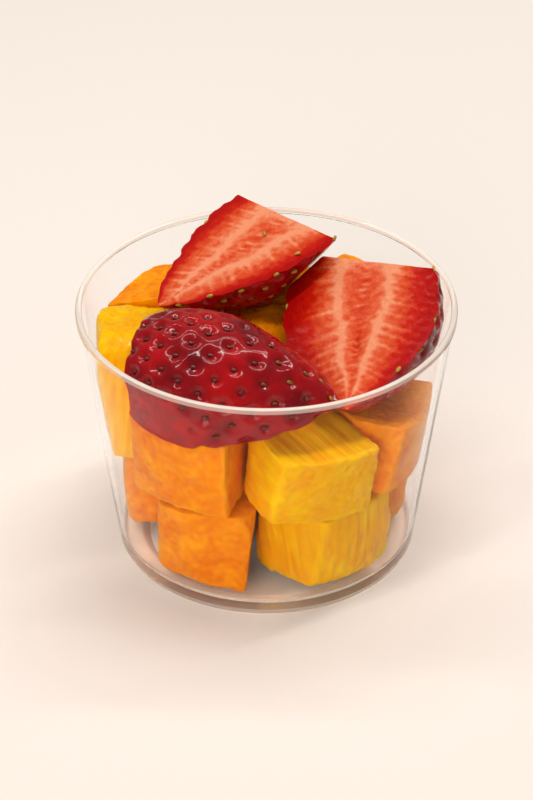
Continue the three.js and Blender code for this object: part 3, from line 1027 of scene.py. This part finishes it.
def put_blocks(kind, depth, shades):
    """Makes the blocks of one fruit, with waves in their faces and worn places along their edges."""
    blocks = BLOCKS[kind]
    material = block_flesh(kind, shades)
    first, second, nicks = blocks["waves"]
    for variant, node in enumerate(blocks["nodes"], start=blocks["variant"] + 1):
        points, quads, outward, grain, edge = block_shape(node)
        relief = swell(grain * blocks["stretch"], first, variant)
        relief += swell(grain, second, variant + 100)
        relief += swell(grain, nicks, variant + 200, edge)
        points -= outward * (depth * relief)[:, None]
        name = f"{kind}_{variant - blocks['variant']}"
        piece = put_piece(name, points, [quads], [material], [node])
        put_attribute(piece, "grain", grain + GRAIN_STEP * variant)
        # The edge attribute shapes the nicks and masks the painted highlight along the edges.
        put_attribute(piece, "edge", edge)


def area_lamp(name, place, aim, size, power, colour, shines):
    """A soft rectangular lamp that looks at a point; shines says whether gloss reflects it."""
    light = bpy.data.lights.new(name, "AREA")
    light.shape = "RECTANGLE"
    light.size = size[0]
    light.size_y = size[1]
    light.energy = power
    light.color = colour
    lamp = bpy.data.objects.new(name, light)
    lamp.location = place
    lamp.rotation_euler = (Vector(aim) - Vector(place)).to_track_quat("-Z", "Y").to_euler()
    lamp.visible_glossy = shines
    bpy.context.scene.collection.objects.link(lamp)


class FRUITCUP_OT_tumbler(bpy.types.Operator):
    """Makes the clear tumbler: its outline turned about the axis"""

    bl_idname = "fruitcup.tumbler"
    bl_label = "Tumbler"

    def execute(self, context):
        profile = tumbler_profile(context.scene.fruit_cup_sizes)
        radius, height = profile[1:-1, :1], profile[1:-1, 1:]
        points, faces = turned_form(radius, height, profile[[0, -1], 1], CUP_COLUMNS)
        colours = context.scene.fruit_cup_colours
        # Cream plastic for the lip and the heel: painted highlight on the lip, painted light at the heel.
        edge = painted_light_plastic("edge_painted_light", colours, EDGE_CLEARNESS)
        crest_highlight = painted_light_plastic("crest_painted_highlight", colours, CREST_CLEARNESS)
        plastics = [clear_plastic(colours), edge, crest_highlight]
        piece = put_piece("clear_tumbler", points, faces, plastics, ["cup"])
        middle = (profile[1:-2] + profile[2:-1]) / 2
        below_top = context.scene.fruit_cup_sizes.cup_height / MM - middle[:, 1]
        heel = (middle[:, 1] < HEEL_HEIGHT) & (middle[:, 0] > HEEL_RADIUS)
        plastic = np.where(below_top < CREST_HEIGHT, 2, (below_top < BRIGHT_LIP) | heel)
        fans = np.zeros(2 * CUP_COLUMNS, dtype=int)
        of_faces = np.concatenate([np.repeat(plastic, CUP_COLUMNS), fans])
        piece.data.polygons.foreach_set("material_index", of_faces.astype(np.int32))
        piece.data.update()
        return {"FINISHED"}


class FRUITCUP_OT_strawberries(bpy.types.Operator):
    """Makes the strawberry halves"""

    bl_idname = "fruitcup.strawberries"
    bl_label = "Strawberry halves"

    def execute(self, context):
        colours = context.scene.fruit_cup_colours
        materials = [strawberry_skin(colours), strawberry_flesh(colours)]
        for name, berry in BERRIES.items():
            put_berry(name, berry, context.scene.fruit_cup_sizes, materials)
        return {"FINISHED"}


class FRUITCUP_OT_seeds(bpy.types.Operator):
    """Makes all the strawberry seeds as one mesh"""

    bl_idname = "fruitcup.seeds"
    bl_label = "Strawberry seeds"

    def execute(self, context):
        sizes = context.scene.fruit_cup_sizes
        found = [berry_seeds(name, berry, sizes) for name, berry in BERRIES.items()]
        centres, axes, tones = (np.concatenate(group) for group in zip(*found))
        form, faces = seed_form(SEED_SHAPE * sizes.seed_length / MM)
        points = centres[:, None] + np.einsum("pk,skc->spc", form, axes)
        first = np.arange(len(centres))[:, None, None] * len(form)
        joined = [(group[None] + first).reshape(-1, group.shape[1]) for group in faces]
        coat = seed_coat(context.scene.fruit_cup_colours)
        piece = put_piece("strawberry_seeds", points.reshape(-1, 3), joined, [coat])
        put_attribute(piece, "tone", np.repeat(tones, len(form)))
        return {"FINISHED"}


class FRUITCUP_OT_melon(bpy.types.Operator):
    """Makes the blocks of melon"""

    bl_idname = "fruitcup.melon"
    bl_label = "Melon blocks"

    def execute(self, context):
        colours = context.scene.fruit_cup_colours
        shades = (colours.melon_deep, colours.melon, colours.melon_pale_and_edge_highlight)
        put_blocks("melon", context.scene.fruit_cup_sizes.melon_roughness / MM, shades)
        return {"FINISHED"}


class FRUITCUP_OT_pineapple(bpy.types.Operator):
    """Makes the blocks of pineapple"""

    bl_idname = "fruitcup.pineapple"
    bl_label = "Pineapple blocks"

    def execute(self, context):
        colours = context.scene.fruit_cup_colours
        shades = (colours.pineapple_deep, colours.pineapple, colours.pineapple_pale_and_edge_highlight)
        put_blocks("pineapple", context.scene.fruit_cup_sizes.fibre_depth / MM, shades)
        return {"FINISHED"}


class FRUITCUP_OT_stage(bpy.types.Operator):
    """Makes the floor, the lamps, the sky and the camera"""

    bl_idname = "fruitcup.stage"
    bl_label = "Studio"

    def execute(self, context):
        colours = context.scene.fruit_cup_colours
        material, tree, shader = new_material("studio_floor")
        looks = {"Base Color": (*colours.floor, 1.0), "Roughness": 0.7, "Specular IOR Level": 0.2}
        wire(tree, shader, looks)
        mesh = bpy.data.meshes.new("studio_floor")
        signs = ((-1, -1), (1, -1), (1, 1), (-1, 1))
        corners = [(x * FLOOR_SIDE, y * FLOOR_SIDE, -FLOOR_DROP) for x, y in signs]
        mesh.from_pydata(corners, [], [(0, 1, 2, 3)])
        mesh.materials.append(material)
        floor = bpy.data.objects.new("studio_floor", mesh)
        context.scene.collection.objects.link(floor)
        aim = (0.0, 0.0, VIEW_HEIGHT)
        for name, place, size, power, colour, shines in LAMPS:
            area_lamp(name, place, aim, size, power, colour, shines)
        world = bpy.data.worlds.new("studio")
        world.use_nodes = True
        sky = {"Color": (*WORLD_COLOUR, 1.0), "Strength": WORLD_STRENGTH}
        wire(world.node_tree, world.node_tree.nodes["Background"], sky)
        context.scene.world = world
        context.scene.view_settings.view_transform = "Standard"
        view = bpy.data.cameras.new("camera")
        view.lens = VIEW_LENS
        camera = bpy.data.objects.new("camera", view)
        back = Vector((0.0, -math.cos(VIEW_ELEVATION), math.sin(VIEW_ELEVATION)))
        camera.location = Vector(aim) + VIEW_DISTANCE * back
        camera.rotation_euler = (-back).to_track_quat("-Z", "Y").to_euler()
        context.scene.collection.objects.link(camera)
        context.scene.camera = camera
        return {"FINISHED"}


OPERATORS = (
    FRUITCUP_OT_stage,
    FRUITCUP_OT_tumbler,
    FRUITCUP_OT_strawberries,
    FRUITCUP_OT_seeds,
    FRUITCUP_OT_melon,
    FRUITCUP_OT_pineapple,
)


class FRUITCUP_PT_sidebar(bpy.types.Panel):
    """Lists the settings and the pieces of the fruit cup"""

    bl_idname = "FRUITCUP_PT_sidebar"
    bl_label = "Fruit Cup"
    bl_space_type = "VIEW_3D"
    bl_region_type = "UI"
    bl_category = "Fruit Cup"

    def draw(self, context):
        for settings in (context.scene.fruit_cup_sizes, context.scene.fruit_cup_colours):
            column = self.layout.column()
            for name in settings.__annotations__:
                column.prop(settings, name)
        for operator in OPERATORS:
            self.layout.operator(operator.bl_idname)


CLASSES = (FruitCupSizes, FruitCupColours, *OPERATORS, FRUITCUP_PT_sidebar)


def register():
    """Registers the classes and hangs the settings on the scene."""
    for cls in CLASSES:
        bpy.utils.register_class(cls)
    bpy.types.Scene.fruit_cup_sizes = bpy.props.PointerProperty(type=FruitCupSizes)
    bpy.types.Scene.fruit_cup_colours = bpy.props.PointerProperty(type=FruitCupColours)


def unregister():
    """Takes the settings off the scene and the classes out."""
    del bpy.types.Scene.fruit_cup_colours
    del bpy.types.Scene.fruit_cup_sizes
    for cls in reversed(CLASSES):
        bpy.utils.unregister_class(cls)


def main():
    """Makes every piece in order."""
    register()
    bpy.ops.fruitcup.stage()
    bpy.ops.fruitcup.tumbler()
    bpy.ops.fruitcup.strawberries()
    bpy.ops.fruitcup.seeds()
    bpy.ops.fruitcup.melon()
    bpy.ops.fruitcup.pineapple()


if __name__ == "__main__":
    main()
